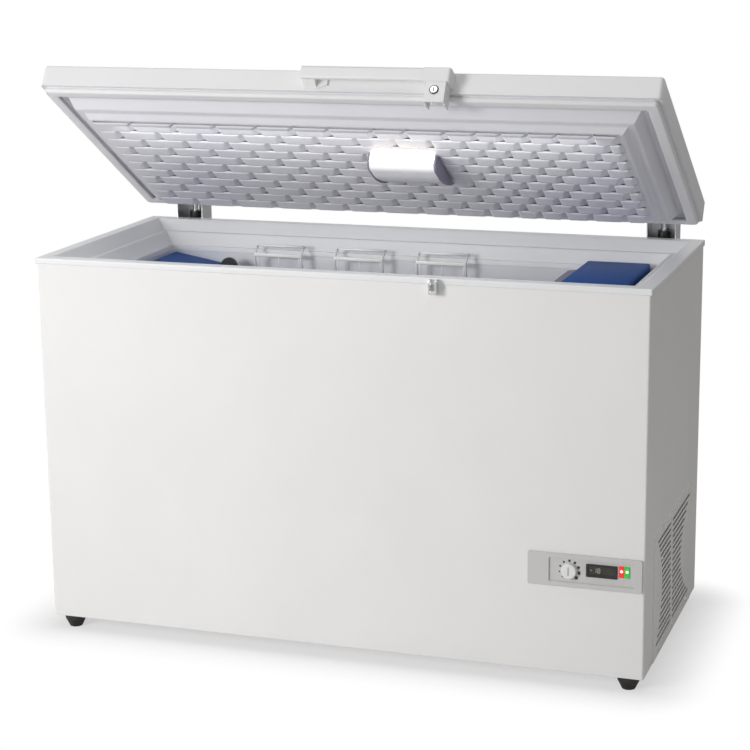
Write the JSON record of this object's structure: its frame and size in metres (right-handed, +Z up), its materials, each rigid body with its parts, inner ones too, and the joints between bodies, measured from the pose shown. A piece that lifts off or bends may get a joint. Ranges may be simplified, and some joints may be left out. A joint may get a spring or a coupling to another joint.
{
  "type": "ice pack freezer",
  "caption": "Chest freezer for medical ice packs, lid raised on rear spring hinges, with wire baskets, a stepped tank, a lit brick-patterned lid liner, a key lock and a slotted side vent.",
  "frame": {"origin": "on the floor, in the middle of the whole outline with the lid raised", "axes": "+X to the right along the long side, +Y to the back where the hinges are, +Z up"},
  "size_m": [1.2666, 0.634, 1.1892],
  "materials": {
    "front_white": "satin",
    "zinc": "satin",
    "foam": "matt",
    "white_plastic": "satin",
    "tank_liner": "satin",
    "black_plastic": "matt",
    "black_paint": "satin",
    "gasket_rubber": "matt",
    "black_rubber": "matt",
    "lamp_diffuser": "satin",
    "lamp_cap": "satin",
    "lamp_glass": "polished",
    "chrome": "polished",
    "white_wire": "satin",
    "blue_plastic": "satin",
    "grey_plastic": "satin",
    "red_lens": "polished",
    "green_lens": "polished",
    "display_glass": "polished"
  },
  "bodies": {
    "cabinet": {"outer_wrap": "front_white", "back_panel": "front_white", "base_pan": "zinc", "inner_liner": "tank_liner", "insulation_foam": "foam", "rim_collar": "white_plastic", "compressor": "black_paint", "compressor_plate": "zinc", "compressor_grommets": "black_rubber", "relay_cover": "black_plastic", "vent_grille": "white_plastic", "grille_screws": "chrome", "panel_bezel": "white_plastic", "thermostat_body": "black_plastic", "display_frame": "black_plastic", "display_window": "display_glass", "red_lamp": "red_lens", "green_lamp": "green_lens", "feet": "black_plastic", "keeper": "chrome", "hinge_channel_left": "zinc", "hinge_channel_right": "zinc", "hinge_pins": "chrome", "spring_cartridges": "black_paint", "hinge_plungers": "chrome", "power_gland": "black_plastic", "drain_plug": "white_plastic", "basket_1": "white_wire", "basket_2": "white_wire", "basket_3": "white_wire", "thermometer": "black_plastic", "ice_packs_left": "blue_plastic", "ice_packs_right": "blue_plastic", "grey_pack": "grey_plastic"},
    "lid": {"lid_shell": "front_white", "lid_foam": "foam", "lid_liner": "white_plastic", "lid_gasket": "gasket_rubber", "lamp_base": "white_plastic", "lamp_diffuser": "lamp_diffuser", "lamp_cap_left": "lamp_cap", "lamp_cap_right": "lamp_cap", "lamp_tube": "lamp_glass", "handle_bar": "white_plastic", "handle_bracket_left": "white_plastic", "handle_bracket_right": "white_plastic", "lock_housing": "white_plastic", "hinge_leaf_left": "zinc", "hinge_leaf_right": "zinc"},
    "key": {"lock_cylinder": "chrome", "lock_finger": "chrome"},
    "thermostat": {"thermostat_knob": "white_plastic"},
    "basket_1_handle_front": {"basket_1_handle_front": "white_wire"},
    "basket_1_handle_rear": {"basket_1_handle_rear": "white_wire"},
    "basket_2_handle_front": {"basket_2_handle_front": "white_wire"},
    "basket_2_handle_rear": {"basket_2_handle_rear": "white_wire"},
    "basket_3_handle_front": {"basket_3_handle_front": "white_wire"},
    "basket_3_handle_rear": {"basket_3_handle_rear": "white_wire"}
  },
  "joints": [
    {"name": "lid_hinge", "type": "hinge", "parent": "cabinet", "child": "lid", "pos_m": [0, 0.299, 0.857], "axis": [-1, 0, 0], "range_deg": [-32, 53]},
    {"name": "key_turn", "type": "hinge", "parent": "lid", "child": "key", "pos_m": [0.2075, -0.27597, 1.15025], "axis": [0, -0.848, 0.5299], "range_deg": [0, 90]},
    {"name": "thermostat_turn", "type": "hinge", "parent": "cabinet", "child": "thermostat", "pos_m": [0.483, -0.303, 0.239], "axis": [0, -1, 0], "range_deg": [-140, 140]},
    {"name": "basket_1_handle_front_swing", "type": "hinge", "parent": "cabinet", "child": "basket_1_handle_front", "pos_m": [-0.279, -0.186, 0.698], "axis": [-1, 0, 0], "range_deg": [-5, 95]},
    {"name": "basket_1_handle_rear_swing", "type": "hinge", "parent": "cabinet", "child": "basket_1_handle_rear", "pos_m": [-0.279, 0.15, 0.698], "axis": [1, 0, 0], "range_deg": [-5, 95]},
    {"name": "basket_2_handle_front_swing", "type": "hinge", "parent": "cabinet", "child": "basket_2_handle_front", "pos_m": [-0.093, -0.186, 0.698], "axis": [-1, 0, 0], "range_deg": [-5, 95]},
    {"name": "basket_2_handle_rear_swing", "type": "hinge", "parent": "cabinet", "child": "basket_2_handle_rear", "pos_m": [-0.093, 0.15, 0.698], "axis": [1, 0, 0], "range_deg": [-5, 95]},
    {"name": "basket_3_handle_front_swing", "type": "hinge", "parent": "cabinet", "child": "basket_3_handle_front", "pos_m": [0.093, -0.186, 0.698], "axis": [-1, 0, 0], "range_deg": [-5, 95]},
    {"name": "basket_3_handle_rear_swing", "type": "hinge", "parent": "cabinet", "child": "basket_3_handle_rear", "pos_m": [0.093, 0.15, 0.698], "axis": [1, 0, 0], "range_deg": [-5, 95]}
  ]
}
